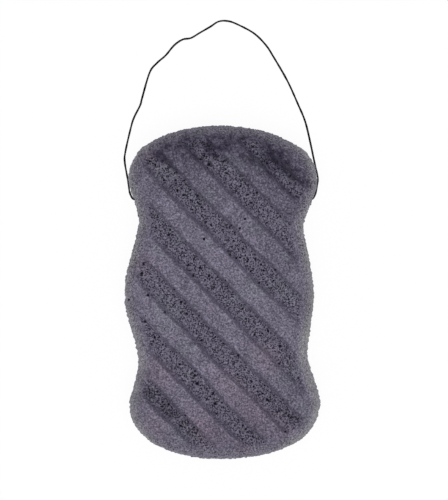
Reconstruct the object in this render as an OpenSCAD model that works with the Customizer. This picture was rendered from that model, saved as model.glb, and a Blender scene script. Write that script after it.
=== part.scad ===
// Konjac sponge with a hanging cord: a pad with wavy sides and seven slanting grooves.
// It lies on its back, with +Z out of the grooved face and +Y towards the cord's end.
// The origin is under the middle of the pad, on the surface that it lies on.

/* [Sponge] */
// Length of the sponge
sponge_length = 125; // [105:1:150]
// Width across the widest waves
sponge_width = 73; // [66:1:90]
// Height of the grooved face's rim above the back
sponge_height = 29.2; // [26:0.2:38]
// Rise of the grooved face from its rim to its middle
face_crown = 0.8; // [0.2:0.1:2]
// Radius of the rolled edge round the grooved face
front_edge_r = 9; // [6:0.5:10]
// Radius of the edge round the back
back_edge_r = 6; // [3:0.5:8]
// Swell of the flank between the two edges
flank_swell = 0.4; // [0.1:0.1:1]

/* [Grooves] */
// Slant of the grooves against the sponge's width
groove_slant = 45.5; // [35:0.5:55]
// Spacing of the grooves at the middle
groove_pitch = 16.1; // [14:0.1:18]
// Width of a groove at the middle
groove_width = 9.6; // [7:0.1:11]
// Depth of the grooves below the face's rim
groove_depth = 1.8; // [1:0.1:3]
// How far each groove wall leans out from its foot to the face
groove_wall_run = 1.4; // [0.6:0.1:2]

/* [Cord] */
// Thickness of the cord
cord_d = 0.5; // [0.4:0.05:0.8]
// Distance of the cord's channel from the sponge's upper end
channel_from_end = 27.8; // [25:0.1:31]
// Height of the channel's axis above the back
channel_height = 15; // [13:0.5:17]
// Play of the cord and its knot in the sponge, all round
channel_clearance = 0.05; // [0.02:0.01:0.1]
// Width of the mouth that the cord has worn into the flank at either end of the channel
mouth_d = 2.6; // [2.4:0.1:3.4]
// Depth of each mouth
mouth_depth = 1.2; // [1:0.1:1.6]
// Thickness of the knot
knot_d = 1.9; // [1.7:0.1:2.4]
// Length of the knot along the cord
knot_length = 1.8; // [1.6:0.1:2.4]
// Distance of the knot's middle from the left end of the cord's run
knot_inset = 13; // [8:0.5:30]

/* [Hidden] */

// The outline, from the upper end round the left side: shares of half the width and length
outline_shares = [
    [-0.04, 1.00], [-0.37, 0.98], [-0.64, 0.93], [-0.83, 0.86], [-0.925, 0.77],
    [-0.95, 0.67], [-0.90, 0.55], [-0.86, 0.42], [-0.91, 0.26], [-0.98, 0.11],
    [-1.00, 0.01], [-0.98, -0.12], [-0.91, -0.26], [-0.865, -0.40], [-0.90, -0.55],
    [-0.95, -0.67], [-0.90, -0.80], [-0.70, -0.91], [-0.36, -0.98], [0.04, -1.00],
    [0.48, -0.965], [0.79, -0.885], [0.95, -0.785], [1.00, -0.66], [0.94, -0.52],
    [0.87, -0.37], [0.90, -0.20], [0.93, -0.02], [0.88, 0.21], [0.83, 0.40],
    [0.91, 0.55], [0.965, 0.68], [0.91, 0.80], [0.74, 0.89], [0.40, 0.97]
];
// Points on each span of the outline
span_points = 3;
// Steps of each rounded edge, in degrees of its quarter turn
edge_angles = [0, 30, 60, 90];
// Rings of the crowned face, as shares of the way from its middle to its rim
crown_shares = [0.72, 0.4];

// Places of the grooves from the middle one, as shares of their pitch: lower left is positive
groove_place_shares = [-2.9, -2.0, -0.98, 0.02, 1.0, 1.95, 2.82];
// Their widths as shares of the middle groove's
groove_width_shares = [0.85, 1.02, 1.02, 1.0, 1.0, 0.92, 0.82];
// Steps up a groove's wall
wall_steps = 4;
// Overrun of every cut past the pad
cut_overrun = 2;
// How much of each mouth lies inside the cord's exit
mouth_start_share = 0.65;

channel_y = sponge_length / 2 - channel_from_end;
channel_bore = cord_d + 2 * channel_clearance;
cord_r = cord_d / 2;
// Faces round the channel, the run and the knot
round_faces = 48;
// Wraps of the knot, side by side
knot_wraps = 3;

// Route of the cord from its left exit, down the flank, round the loop on the surface and back
// into its right exit: chosen by hand, x and y over the sponge and z above the surface
cord_route = [
    [-32.5, channel_y, channel_height], [-33.2, 34.95, 14.75], [-33.8, 35.4, 14.1],
    [-34.3, 36.3, 12.8], [-34.85, 37.7, 10.8], [-35.2, 39.7, 8.1], [-35.6, 42.4, 5.0],
    [-36.8, 49.0, 0.8], [-36.6, 53.0, cord_r], [-34.4, 62.6, cord_r], [-33.2, 66.2, cord_r],
    [-31.0, 70.6, cord_r], [-30.2, 73.6, cord_r], [-27.4, 83.0, cord_r], [-24.6, 86.6, cord_r],
    [-21.4, 89.4, cord_r], [-18.2, 93.2, cord_r], [-15.0, 95.4, cord_r], [-11.8, 96.0, cord_r],
    [-8.4, 98.0, cord_r], [-4.6, 100.2, cord_r], [-1.4, 102.2, cord_r], [2.0, 102.4, cord_r],
    [5.6, 101.2, cord_r], [11.9, 97.8, cord_r], [16.4, 93.4, cord_r], [19.4, 88.8, cord_r],
    [24.6, 79.8, cord_r], [28.6, 71.0, cord_r], [31.4, 64.2, cord_r], [33.5, 55.4, cord_r],
    [34.5, 50.6, 0.8], [35.4, 46.4, 2.4], [36.1, 42.8, 5.2], [35.65, 39.8, 8.2],
    [35.3, 37.7, 10.8], [34.75, 36.3, 12.8], [34.2, 35.4, 14.1], [33.6, 34.95, 14.75],
    [32.9, channel_y, channel_height]
];
// Rings of the tube on each span of the route, and its sides
span_rings = 2;
tube_sides = 8;
left_exit = cord_route[0];
right_exit = cord_route[len(cord_route) - 1];
knot_x = left_exit.x + knot_inset;

// Point at share t between b and c of a smooth curve through a, b, c and d
function curve_point(a, b, c, d, t) =
    (2 * b + (c - a) * t + (2 * a - 5 * b + 4 * c - d) * t * t + (3 * b - a - 3 * c + d) * t * t * t) / 2;
function unit(v) = v / norm(v);

// The outline's points, and its outward normals
outline_spans = len(outline_shares);
function outline_knot(i) =
    let (share = outline_shares[(i + outline_spans) % outline_spans])
    [share.x * sponge_width / 2, share.y * sponge_length / 2];
outline = [
    for (i = [0:outline_spans - 1], k = [0:span_points - 1])
        curve_point(outline_knot(i - 1), outline_knot(i), outline_knot(i + 1), outline_knot(i + 2),
                    k / span_points)
];
outline_count = len(outline);
outline_normals = [
    for (i = [0:outline_count - 1])
        let (along = outline[(i + 1) % outline_count] - outline[(i + outline_count - 1) % outline_count])
        unit([along.y, -along.x])
];

// The pad's section at its edge, from the back up: how far inside the outline, and how high
edge_section = concat(
    [for (a = edge_angles) [flank_swell + back_edge_r * (1 - sin(a)), back_edge_r * (1 - cos(a))]],
    [[0, (back_edge_r + sponge_height - front_edge_r) / 2]],
    [for (i = [len(edge_angles) - 1:-1:0])
        let (a = edge_angles[i])
        [flank_swell + front_edge_r * (1 - sin(a)), sponge_height - front_edge_r * (1 - cos(a))]]
);
function edge_ring(inset, height) = [
    for (i = [0:outline_count - 1])
        let (p = outline[i] - outline_normals[i] * inset)
        [p.x, p.y, height]
];
face_rim = edge_ring(edge_section[len(edge_section) - 1].x, sponge_height);
function crown_ring(share) = [
    for (p = face_rim)
        [p.x * share, p.y * share, sponge_height + face_crown * (1 - share * share)]
];

// Triangles between closed rings of the same count, laid one after another
function ring_faces(rings, count) = [
    for (r = [0:rings - 2], i = [0:count - 1])
        let (a = r * count + i, b = r * count + (i + 1) % count)
        each [[a, a + count, b], [b, a + count, b + count]]
];
// Triangles from a closed ring to one point in its middle
function fan_faces(first, count, middle, outward) = [
    for (i = [0:count - 1])
        let (a = first + i, b = first + (i + 1) % count)
        outward ? [a, middle, b] : [b, middle, a]
];

module pad() {
    rings = concat(
        [for (s = edge_section) edge_ring(s.x, s.y)],
        [for (share = crown_shares) crown_ring(share)]
    );
    ring_points = [for (ring = rings) each ring];
    back_middle = len(ring_points);
    polyhedron(
        points = concat(ring_points, [[0, 0, 0], [0, 0, sponge_height + face_crown]]),
        faces = concat(
            ring_faces(len(rings), outline_count),
            fan_faces(0, outline_count, back_middle, false),
            fan_faces((len(rings) - 1) * outline_count, outline_count, back_middle + 1, true)
        )
    );
}

// Half of a groove's section, from its foot up a wall that rolls over at the lip
function wall_point(width, t) =
    [width / 2 - groove_wall_run * (1 - t), groove_depth * t * t * (3 - 2 * t)];

module groove(width) {
    length = norm([sponge_length, sponge_width]);
    wall = [for (k = [0:wall_steps]) wall_point(width, k / wall_steps)];
    lip = [width / 2 + groove_wall_run * face_crown / groove_depth, groove_depth + face_crown + cut_overrun];
    half = concat(wall, [lip]);
    rotate([90, 0, 90])
        linear_extrude(length, center = true)
            polygon(concat(half, [for (i = [len(half) - 1:-1:0]) [-half[i].x, half[i].y]]));
}

module grooves() {
    rotate([0, 0, -groove_slant])
        for (i = [0:len(groove_place_shares) - 1])
            translate([0, -groove_pitch * groove_place_shares[i], sponge_height - groove_depth])
                groove(groove_width * groove_width_shares[i]);
}

// A round bar along the cord's line through the sponge, from one x to another
module channel_bar(from_x, to_x, d) {
    translate([from_x, channel_y, channel_height])
        rotate([0, 90, 0])
            cylinder(h = to_x - from_x, d = d, $fn = round_faces);
}

// A mouth of the channel, from its narrow end just inside the cord's exit out past the flank
module mouth(exit, outward) {
    reach = mouth_depth + cut_overrun;
    translate([exit.x - outward * mouth_depth * mouth_start_share, channel_y, channel_height])
        rotate([0, 90 * outward, 0])
            cylinder(
                h = reach,
                d1 = channel_bore,
                d2 = channel_bore + (mouth_d - channel_bore) * reach / mouth_depth,
                $fn = round_faces
            );
}

module sponge() {
    knot_reach = knot_length / 2 + channel_clearance;
    color([0.41, 0.39, 0.45])
        difference() {
            pad();
            grooves();
            channel_bar(-sponge_width / 2 - cut_overrun, sponge_width / 2 + cut_overrun, channel_bore);
            channel_bar(knot_x - knot_reach, knot_x + knot_reach, knot_d + 2 * channel_clearance);
            mouth(left_exit, -1);
            mouth(right_exit, 1);
        }
}

// The tube's rings stand square to the route, and its end rings square to the channel
route_spans = len(cord_route) - 1;
function route_knot(i) =
    i < 0 ? 2 * cord_route[0] - cord_route[1]
    : i > route_spans ? 2 * cord_route[route_spans] - cord_route[route_spans - 1]
    : cord_route[i];
route_points = concat(
    [for (i = [0:route_spans - 1], k = [0:span_rings - 1])
        curve_point(route_knot(i - 1), route_knot(i), route_knot(i + 1), route_knot(i + 2),
                    k / span_rings)],
    [right_exit]
);
tube_rings = len(route_points);
function route_direction(i) =
    i == 0 || i == tube_rings - 1 ? [-1, 0, 0]
    : unit(route_points[i + 1] - route_points[i - 1]);
function tube_ring(i) =
    let (
        ahead = route_direction(i),
        side = unit(cross([0, 0, 1], ahead)),
        up = cross(ahead, side)
    )
    [for (k = [0:tube_sides - 1])
        let (a = 360 * (k + 0.5) / tube_sides)
        route_points[i] + cord_r * (side * cos(a) + up * sin(a))];

module cord_loop() {
    ring_points = [for (i = [0:tube_rings - 1]) each tube_ring(i)];
    last_ring = (tube_rings - 1) * tube_sides;
    color([0.05, 0.05, 0.06])
        polyhedron(
            points = concat(ring_points, [left_exit, right_exit]),
            faces = concat(
                ring_faces(tube_rings, tube_sides),
                fan_faces(0, tube_sides, len(ring_points), false),
                fan_faces(last_ring, tube_sides, len(ring_points) + 1, true)
            )
        );
}

module cord_run_left() {
    color([0.05, 0.05, 0.06])
        channel_bar(left_exit.x, knot_x - knot_length / 2, cord_d);
}

module cord_run_right() {
    color([0.05, 0.05, 0.06])
        channel_bar(knot_x + knot_length / 2, right_exit.x, cord_d);
}

// An overhand knot drawn tight: a core with the cord's wraps standing out round it
module cord_knot() {
    wrap_d = knot_length / knot_wraps;
    wrap_x = knot_d / 2 - wrap_d / 2;
    color([0.05, 0.05, 0.06])
        translate([knot_x, channel_y, channel_height])
            rotate([0, 90, 0])
                rotate_extrude($fn = round_faces)
                    union() {
                        translate([0, -knot_length / 2])
                            square([wrap_x, knot_length]);
                        for (k = [0:knot_wraps - 1])
                            translate([wrap_x, wrap_d * (k - (knot_wraps - 1) / 2)])
                                circle(d = wrap_d, $fn = round_faces);
                    }
}

sponge();
cord_loop();
cord_run_left();
cord_run_right();
cord_knot();
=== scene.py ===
"""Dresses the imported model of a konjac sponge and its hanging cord.

The sponge lies on its back with the grooved face up, and the camera looks straight down on it.
Lengths are in metres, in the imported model's own frame: +Z is out of the grooved face, +Y is
towards the end that the cord hangs from, and the origin is under the middle of the pad.
"""

import sys

import itertools
import logging
import math
from dataclasses import dataclass, field
from enum import Enum

import bpy
import numpy as np
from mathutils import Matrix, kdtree


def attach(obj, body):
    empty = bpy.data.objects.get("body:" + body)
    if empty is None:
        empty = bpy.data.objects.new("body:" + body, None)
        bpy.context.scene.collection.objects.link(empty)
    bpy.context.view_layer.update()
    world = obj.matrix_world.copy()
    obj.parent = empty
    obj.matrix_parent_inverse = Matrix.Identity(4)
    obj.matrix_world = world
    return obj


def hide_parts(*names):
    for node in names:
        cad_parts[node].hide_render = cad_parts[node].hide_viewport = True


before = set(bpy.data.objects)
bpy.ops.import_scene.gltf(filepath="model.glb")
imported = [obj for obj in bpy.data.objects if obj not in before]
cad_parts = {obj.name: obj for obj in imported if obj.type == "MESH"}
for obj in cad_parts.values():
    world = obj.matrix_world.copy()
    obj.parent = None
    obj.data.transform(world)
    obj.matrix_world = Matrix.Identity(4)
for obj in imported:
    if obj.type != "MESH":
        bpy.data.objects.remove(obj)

logging.basicConfig(level=logging.INFO, format="%(name)s: %(message)s", stream=sys.stdout)
log = logging.getLogger("konjac_sponge")

Colour = tuple[float, float, float]
Place = tuple[float, float, float]
MM = 0.001
WHITE = (1.0, 1.0, 1.0, 1.0)


class Body(str, Enum):
    """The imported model's bodies."""

    SPONGE = "sponge"
    CORD = "cord"


class Slot(str, Enum):
    """The record's material slots."""

    FOAM = "konjac_foam"
    CORD = "cord"


class Side(Enum):
    """The three parts that the pad's surface is laid out in."""

    FACE = 0
    BACK = 1
    FLANK = 2


class Seed(int, Enum):
    """Sets each random layer's pattern apart from the others'."""

    WAVE = 1
    RIPPLE = 2
    FLOOR = 3
    FELT = 5
    FUZZ = 9
    SHADE_BORDER = 13
    WANDER = 21
    WOBBLE = 22
    SMALL_CELLS = 31
    WIDE_CELLS = 47
    LONE_CELLS = 53
    SLUB = 61


def smooth_rise(
    x: np.ndarray, low: float | np.ndarray, high: float | np.ndarray
) -> np.ndarray:
    """Rises smoothly from 0 to 1.

    Args:
        x: The values to look up.
        low: Where the rise starts, for all the values or for each of them.
        high: Where it ends. It may be below low, and then the curve falls.

    Returns:
        A share from 0 to 1 for each value.
    """
    t = np.clip((x - low) / (high - low), 0.0, 1.0)
    return t * t * (3 - 2 * t)


@dataclass(frozen=True)
class Ramp:
    """A smooth rise from 0 to 1, or a fall where it ends below its start.

    Attributes:
        start: Where it leaves 0.
        end: Where it reaches 1.
    """

    start: float
    end: float

    def at(self, x: np.ndarray) -> np.ndarray:
        """How far up the ramp each value is, from 0 to 1."""
        return smooth_rise(x, self.start, self.end)


def curve_points(knots: np.ndarray, steps: int, closed: bool) -> np.ndarray:
    """Runs a smooth curve through points, with the same steps on each span.

    Args:
        knots: The points that the curve passes through.
        steps: Points on each span.
        closed: Whether the last point joins the first.

    Returns:
        The curve's points. An open curve keeps its last knot.
    """
    if closed:
        before, start, end, after = (np.roll(knots, k, axis=0) for k in (1, 0, -1, -2))
    else:
        longer = np.vstack([2 * knots[:1] - knots[1:2], knots, 2 * knots[-1:] - knots[-2:-1]])
        before, start, end, after = (longer[k : len(longer) - 3 + k] for k in range(4))
    t = (np.arange(steps) / steps)[None, :, None]
    before, start, end, after = (x[:, None, :] for x in (before, start, end, after))
    found = 0.5 * (
        2 * start
        + (end - before) * t
        + (2 * before - 5 * start + 4 * end - after) * t**2
        + (3 * start - before - 3 * end + after) * t**3
    )
    found = found.reshape(-1, knots.shape[1])
    return found if closed else np.vstack([found, knots[-1:]])


@dataclass(frozen=True)
class Chance:
    """Repeatable chance, fixed to a lattice in space.

    Attributes:
        seed: Sets one layer's pattern apart from another's.
    """

    seed: int

    def share(self, cells: np.ndarray, salt: int = 0) -> np.ndarray:
        """Draws a share from 0 to 1 for each lattice cell.

        Args:
            cells: Whole-number cells, three numbers each.
            salt: Sets one draw for a cell apart from the next.

        Returns:
            One share per cell, the same on every run.
        """
        word = 0xFFFFFFFF
        x, y, z = cells.T
        mixed = x * 73856093 ^ y * 19349663 ^ z * 83492791
        mixed = (mixed ^ (self.seed * 40503 + salt * 9973)) & word
        for shift, factor in ((13, 1274126177), (16, 1103515245)):
            mixed = ((mixed ^ mixed >> shift) * factor) & word
        return (mixed ^ mixed >> 15 & 0xFFFF) / (word + 1)

    def swell(self, places: np.ndarray, cell: float) -> np.ndarray:
        """A smooth random swell with waves about two cells long.

        Args:
            places: Points in space.
            cell: Size of the lattice's cells.

        Returns:
            A value from -1 to 1 at each point.
        """
        turn = math.radians(31 + 17 * (self.seed % 7))
        c, s = math.cos(turn), math.sin(turn)
        level, lean = 0.8, 0.6
        tilted = places @ np.array(
            [[c, -s, 0], [s * level, c * level, -lean], [s * lean, c * lean, level]]
        )
        scaled = tilted / cell + 0.5
        first = np.floor(scaled).astype(np.int64)
        part = scaled - first
        part = part * part * part * (part * (part * 6 - 15) + 10)
        found = np.zeros(len(places))
        for corner in itertools.product((0, 1), repeat=3):
            near = np.where(np.array(corner), part, 1 - part).prod(axis=1)
            found += near * self.share(first + np.array(corner))
        return 2 * found - 1

    def layered(self, places: np.ndarray, cell: float, layers: int) -> np.ndarray:
        """Swells on swells, each half as large and half as strong as the last.

        Args:
            places: Points in space.
            cell: Cell size of the largest layer.
            layers: How many layers there are.

        Returns:
            A value from about -1 to 1 at each point.
        """
        found, strength = np.zeros(len(places)), 1.0
        for k in range(layers):
            found += strength * Chance(self.seed + 11 * k).swell(places, cell / 2**k)
            strength /= 2
        return found


@dataclass(frozen=True)
class Swell:
    """One layer of random swells on a surface.

    Attributes:
        seed: Its pattern.
        height: How far it stands out.
        cell: About half the length of its longest waves.
        layers: How many finer layers it is made of.
    """

    seed: Seed
    height: float
    cell: float
    layers: int = 1

    def over(self, places: np.ndarray) -> np.ndarray:
        """How far the surface swells at each point, out or in."""
        return self.height * Chance(self.seed).layered(places, self.cell, self.layers)


@dataclass(frozen=True)
class OpenCells:
    """Round cells of the foam that its surface cuts open.

    Attributes:
        spacing: Spacing of the cells.
        smallest: Radius of the smallest cell.
        largest: Radius of the largest.
        share: Share of the places that hold one, where the density is 1.
        steepness: Depth of an opening against a ball's.
        seed: Its pattern.
    """

    spacing: float
    smallest: float
    largest: float
    share: float
    steepness: float
    seed: Seed

    def depth(self, places: np.ndarray, normals: np.ndarray, density: np.ndarray) -> np.ndarray:
        """How far the openings reach below the surface.

        Args:
            places: Points on the surface.
            normals: The surface's outward normals there.
            density: From 0, no cells, to 1, at each point.

        Returns:
            The depth at each point, in metres.
        """
        deepest = np.zeros(len(places))
        thin, blur = 0.01, 0.03
        used = np.nonzero(density > thin)[0]
        at, out, dense = places[used], normals[used], density[used]
        home = np.floor(at / self.spacing).astype(np.int64)
        found = np.zeros(len(used))
        chance = Chance(self.seed)
        for step in itertools.product((-1, 0, 1), repeat=3):
            cells = home + np.array(step)
            there = smooth_rise(self.share * dense - chance.share(cells, 1), -blur, blur)
            near = np.nonzero(there > 0)[0]
            cells = cells[near]
            middle = np.stack([chance.share(cells, k) for k in (2, 3, 4)], axis=1)
            away = at[near] - (cells + middle) * self.spacing
            radius = self.smallest + (self.largest - self.smallest) * chance.share(cells, 5) ** 2
            height = (away * out[near]).sum(axis=1)
            left = radius**2 - (away**2).sum(axis=1)
            deep = self.steepness * np.sqrt(np.maximum(left, 0)) * there[near]
            deep *= smooth_rise(np.abs(height), self.largest, 0.5 * self.smallest)
            found[near] = np.maximum(found[near], deep)
        deepest[used] = found
        return deepest


@dataclass(frozen=True)
class Spot:
    """A place on the pad's face that differs from what is round it.

    Attributes:
        x: Its middle over the sponge, in millimetres.
        y: The same along the sponge.
        reach: Half its width, in millimetres.
        stretch: Its length along the grooves against its width.
        amount: How strong it is.
    """

    x: float
    y: float
    reach: float
    stretch: float
    amount: float


@dataclass(frozen=True)
class Grooves:
    """The seven slanting grooves of the face.

    Attributes:
        slant: Degrees that they fall from left to right.
        pitch: Their spacing at the middle.
        width: Width of the middle one.
        depth: Depth of their floors below the face's rim.
        wall_run: How far a wall leans out.
        places: Where each lies, as shares of the pitch: lower left is positive.
        widths: Width of each, as a share of the middle one's.
        wander: How far the lips stray from straight lines.
        wobble: Their smaller unevenness.
        floor_swell: Unevenness of the floors.
        gutter: How much deeper a floor is beside its walls.
        gutter_run: How that sets in, by distance inside the lip.
        outer: How much deeper the outermost grooves are.
        outer_run: How that sets in, by distance from the middle of the face.
        pressed: How much deeper the floors are where the moulding is pressed in deeper.
        blunt: How softly a floor runs out where the face falls to its level.
        runout: How a groove fades there, by its depth.
        shoulder: How far the ribs' shoulders are rolled down.
        shoulder_run: How that sets in, by distance inside the lip.
        lower_half: A groove's lower left half, by distance from its middle.
        lower_foot: How much later the bed begins there, which widens the painted shade at the
            wall's foot.
        bed_run: How the level bed begins, by distance inside the lip.
        open_run: Where beds and floor colour begin, by distance inside the outline.
    """

    slant: float = 45.5
    pitch: float = 16.1 * MM
    width: float = 9.6 * MM
    depth: float = 1.8 * MM
    wall_run: float = 1.7 * MM
    places: tuple[float, ...] = (-2.9, -2.0, -0.98, 0.02, 1.0, 1.95, 2.82)
    widths: tuple[float, ...] = (0.85, 1.02, 1.02, 1.0, 1.0, 0.92, 0.82)
    wander: Swell = Swell(Seed.WANDER, 0.45 * MM, 11 * MM)
    wobble: Swell = Swell(Seed.WOBBLE, 0.22 * MM, 3.2 * MM, 2)
    floor_swell: Swell = Swell(Seed.FLOOR, 0.18 * MM, 7 * MM)
    gutter: float = 0.30 * MM
    gutter_run: Ramp = Ramp(3.2 * MM, 1.5 * MM)
    outer: float = 0.45 * MM
    outer_run: Ramp = Ramp(22 * MM, 46 * MM)
    pressed: float = 1.0 * MM
    blunt: float = 0.35 * MM
    runout: Ramp = Ramp(0.0, 0.9 * MM)
    shoulder: float = 0.22 * MM
    shoulder_run: Ramp = Ramp(-3.2 * MM, 0.2 * MM)
    lower_half: Ramp = Ramp(0.0, -2.5 * MM)
    lower_foot: float = 1.0 * MM
    bed_run: Ramp = Ramp(0.0, 2.3 * MM)
    open_run: Ramp = Ramp(3.2 * MM, 5.4 * MM)

    def across(self, places: np.ndarray) -> np.ndarray:
        """How far each point is towards the upper right, square to the grooves."""
        turn = math.radians(self.slant)
        return places[:, 0] * math.sin(turn) + places[:, 1] * math.cos(turn)

    def along(self, places: np.ndarray) -> np.ndarray:
        """How far each point is towards the lower right, along the grooves."""
        turn = math.radians(self.slant)
        return places[:, 0] * math.cos(turn) - places[:, 1] * math.sin(turn)

    def inside(self, places: np.ndarray) -> tuple[np.ndarray, np.ndarray, np.ndarray]:
        """Which points lie in a groove, as the real moulding wanders.

        Args:
            places: Points on the face.

        Returns:
            From 0 on a rib to 1 on a floor, how far each is from the nearest groove's lip, which
            is positive inside it, and how far it is to the upper right of that groove's middle.
        """
        flat = places * np.array([1.0, 1.0, 0.0])
        v = self.across(places)
        wander = self.wander.over(flat) + self.wobble.over(flat)
        lip, aside = np.full(len(places), -1.0), np.zeros(len(places))
        for place, width in zip(self.places, self.widths):
            away = v + self.pitch * place
            here = self.width * width / 2 + wander - np.abs(away)
            aside = np.where(here > lip, away, aside)
            lip = np.maximum(lip, here)
        return smooth_rise(lip, 0.0, self.wall_run), lip, aside


@dataclass(frozen=True)
class Outline:
    """The pad's wavy outline, from its upper end round the left side.

    The solid's outline is plainer: this one also has the moulding's small local swellings.

    Attributes:
        width: Width across the widest waves.
        length: Length of the pad.
        shares: Places of its points, as shares of half the width and half the length.
        steps: Points on each span.
    """

    width: float = 73 * MM
    length: float = 125 * MM
    shares: tuple[tuple[float, float], ...] = (
        (-0.04, 1.00), (-0.369, 0.978), (-0.64, 0.93), (-0.839, 0.866), (-0.938, 0.773),
        (-0.961, 0.67), (-0.934, 0.605), (-0.90, 0.55), (-0.855, 0.42), (-0.913, 0.26),
        (-0.983, 0.11), (-1.00, 0.01), (-0.984, -0.12), (-0.91, -0.26), (-0.86, -0.40),
        (-0.90, -0.55), (-0.945, -0.67), (-0.895, -0.798), (-0.704, -0.914), (-0.36, -0.98),
        (0.04, -1.00), (0.481, -0.967), (0.79, -0.885), (0.95, -0.785), (1.00, -0.66),
        (0.94, -0.52), (0.87, -0.37), (0.906, -0.20), (0.935, -0.02), (0.89, 0.211),
        (0.833, 0.40), (0.922, 0.55), (0.97, 0.67), (0.91, 0.80), (0.742, 0.892),
        (0.40, 0.97),
    )  # fmt: skip
    steps: int = 12

    def points(self) -> np.ndarray:
        """The outline's points, anticlockwise from above."""
        half = np.array([self.width / 2, self.length / 2])
        return curve_points(np.array(self.shares) * half, self.steps, closed=True)

    def normals(self) -> np.ndarray:
        """Finds which way is out.

        Returns:
            The outward normal at each of the outline's points.
        """
        points = self.points()
        ahead = np.roll(points, -1, axis=0) - np.roll(points, 1, axis=0)
        ahead /= np.linalg.norm(ahead, axis=1, keepdims=True)
        return np.stack([ahead[:, 1], -ahead[:, 0]], axis=1)

    def nearest(self, places: np.ndarray) -> tuple[np.ndarray, np.ndarray]:
        """How far points are from the outline, seen from above.

        Args:
            places: Points on or in the pad.

        Returns:
            The distance to the outline, and how far round it the nearest point is, as a share.
        """
        points = self.points()
        count = len(points)
        tree = kdtree.KDTree(count)
        for i, (x, y) in enumerate(points):
            tree.insert((x, y, 0.0), i)
        tree.balance()
        flat = places * np.array([1.0, 1.0, 0.0])
        near = np.array([tree.find(place)[1] for place in flat])
        best = np.full(len(places), np.inf)
        share = np.zeros(len(places))
        for start in ((near - 1) % count, near):
            from_it = flat[:, :2] - points[start]
            span = points[(start + 1) % count] - points[start]
            t = np.clip((from_it * span).sum(axis=1) / (span**2).sum(axis=1), 0, 1)
            gap = np.linalg.norm(from_it - t[:, None] * span, axis=1)
            share = np.where(gap < best, (start + t) / count, share)
            best = np.minimum(best, gap)
        return best, share


class NodeBoard:
    """Lays shader nodes on a node tree and joins them."""

    def __init__(self, tree: bpy.types.NodeTree) -> None:
        """Keeps the tree that the nodes go on."""
        self.tree = tree

    def add(self, kind: str, **values: object) -> bpy.types.Node:
        """Adds a node.

        Args:
            kind: Blender's name for the kind of node.
            **values: Its own settings by name.

        Returns:
            The node.
        """
        node = self.tree.nodes.new(kind)
        for name, value in values.items():
            setattr(node, name, value)
        return node

    def join(self, source: bpy.types.NodeSocket, target: bpy.types.NodeSocket) -> None:
        """Leads one socket into another."""
        self.tree.links.new(source, target)

    def fill(self, socket: bpy.types.NodeSocket, value: object) -> None:
        """Gives an input its value.

        Args:
            socket: The input.
            value: A socket to link it to, or the value itself.
        """
        if isinstance(value, bpy.types.NodeSocket):
            self.join(value, socket)
        else:
            socket.default_value = value

    def sum(self, kind: str, *values: object) -> bpy.types.NodeSocket:
        """Works out one number from others.

        Args:
            kind: Blender's name for the operation.
            *values: Sockets or plain numbers.

        Returns:
            The result's socket.
        """
        node = self.add("ShaderNodeMath", operation=kind)
        for socket, value in zip(node.inputs, values):
            self.fill(socket, value)
        return node.outputs[0]

    def span(
        self, value: object, low: float, high: float, to_low: float, to_high: float
    ) -> bpy.types.NodeSocket:
        """Maps a number from one span to another, smoothly and without leaving it.

        Args:
            value: The socket to read.
            low: Start of the first span.
            high: End of the first span.
            to_low: What the start becomes.
            to_high: What the end becomes.

        Returns:
            The result's socket.
        """
        node = self.add("ShaderNodeMapRange", interpolation_type="SMOOTHSTEP")
        names = ("Value", "From Min", "From Max", "To Min", "To Max")
        for name, given in zip(names, (value, low, high, to_low, to_high)):
            self.fill(node.inputs[name], given)
        return node.outputs["Result"]

    def blend(
        self, amount: object, first: object, second: object, kind: str = "MIX"
    ) -> bpy.types.NodeSocket:
        """Mixes two colours.

        Args:
            amount: How much of the second there is.
            first: A colour socket, or a colour of three numbers.
            second: The same.
            kind: Blender's name for the way of mixing.

        Returns:
            The mixed colour's socket.
        """
        node = self.add("ShaderNodeMix", data_type="RGBA", blend_type=kind)
        self.fill(node.inputs[0], amount)
        for socket, value in ((node.inputs[6], first), (node.inputs[7], second)):
            self.fill(socket, value if isinstance(value, bpy.types.NodeSocket) else (*value, 1.0))
        return node.outputs[2]

    def noise(
        self, where: bpy.types.NodeSocket, scale: float, detail: float, roughness: float
    ) -> bpy.types.NodeSocket:
        """A noise texture.

        Args:
            where: The coordinates that it reads.
            scale: Waves per metre.
            detail: Finer layers on top of the first.
            roughness: Strength of the finer layers.

        Returns:
            The noise's value, around 0.5.
        """
        node = self.add("ShaderNodeTexNoise")
        self.join(where, node.inputs["Vector"])
        node.inputs["Scale"].default_value = scale
        node.inputs["Detail"].default_value = detail
        node.inputs["Roughness"].default_value = roughness
        return node.outputs["Fac"]

    def mark(self, name: str) -> bpy.types.NodeSocket:
        """Reads one of the mesh's own attributes as a number."""
        return self.add("ShaderNodeAttribute", attribute_name=name).outputs["Fac"]

    def relief(
        self, shader: bpy.types.Node, height: bpy.types.NodeSocket, strength: float, depth: float
    ) -> None:
        """Gives a shader fine relief.

        Args:
            shader: The Principled BSDF.
            height: From 0 in the hollows to 1 on top.
            strength: How strongly it shows, up to 1.
            depth: Height of the relief, in metres.
        """
        bump = self.add("ShaderNodeBump")
        bump.inputs["Strength"].default_value = strength
        bump.inputs["Distance"].default_value = depth
        self.join(height, bump.inputs["Height"])
        self.join(bump.outputs["Normal"], shader.inputs["Normal"])


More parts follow.
